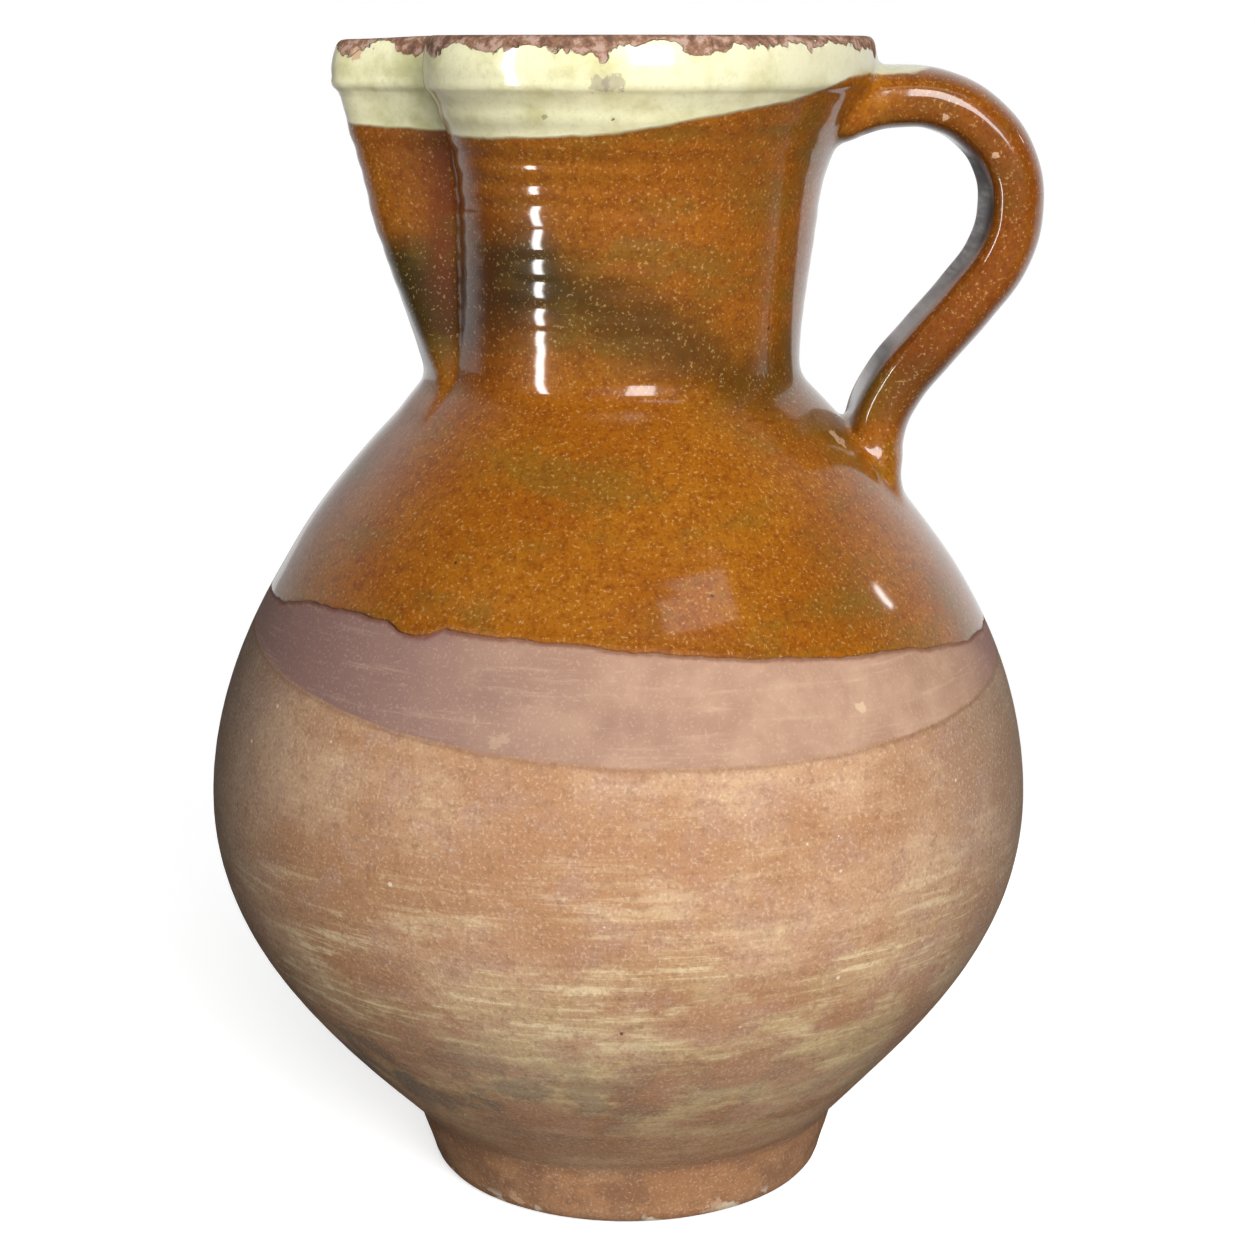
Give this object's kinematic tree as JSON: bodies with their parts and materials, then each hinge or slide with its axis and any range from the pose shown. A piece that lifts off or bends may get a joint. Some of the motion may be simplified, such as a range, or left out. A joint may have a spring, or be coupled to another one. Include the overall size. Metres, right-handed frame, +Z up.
{
  "type": "glazed pottery jug",
  "caption": "Hand-thrown earthenware pouring jug with a round belly, tall flared neck, pinched spout and strap handle, glazed above and bare clay below.",
  "frame": {"origin": "centre of the foot's underside, on the resting face", "axes": "+Z up along the wheel axis, spout towards -X, handle towards +X"},
  "size_m": [0.2025, 0.202, 0.28],
  "materials": {
    "glazed_earthenware": "gloss amber lead glaze above, matt buff clay below"
  },
  "bodies": {
    "root": {"jug": "glazed_earthenware"}
  },
  "joints": []
}
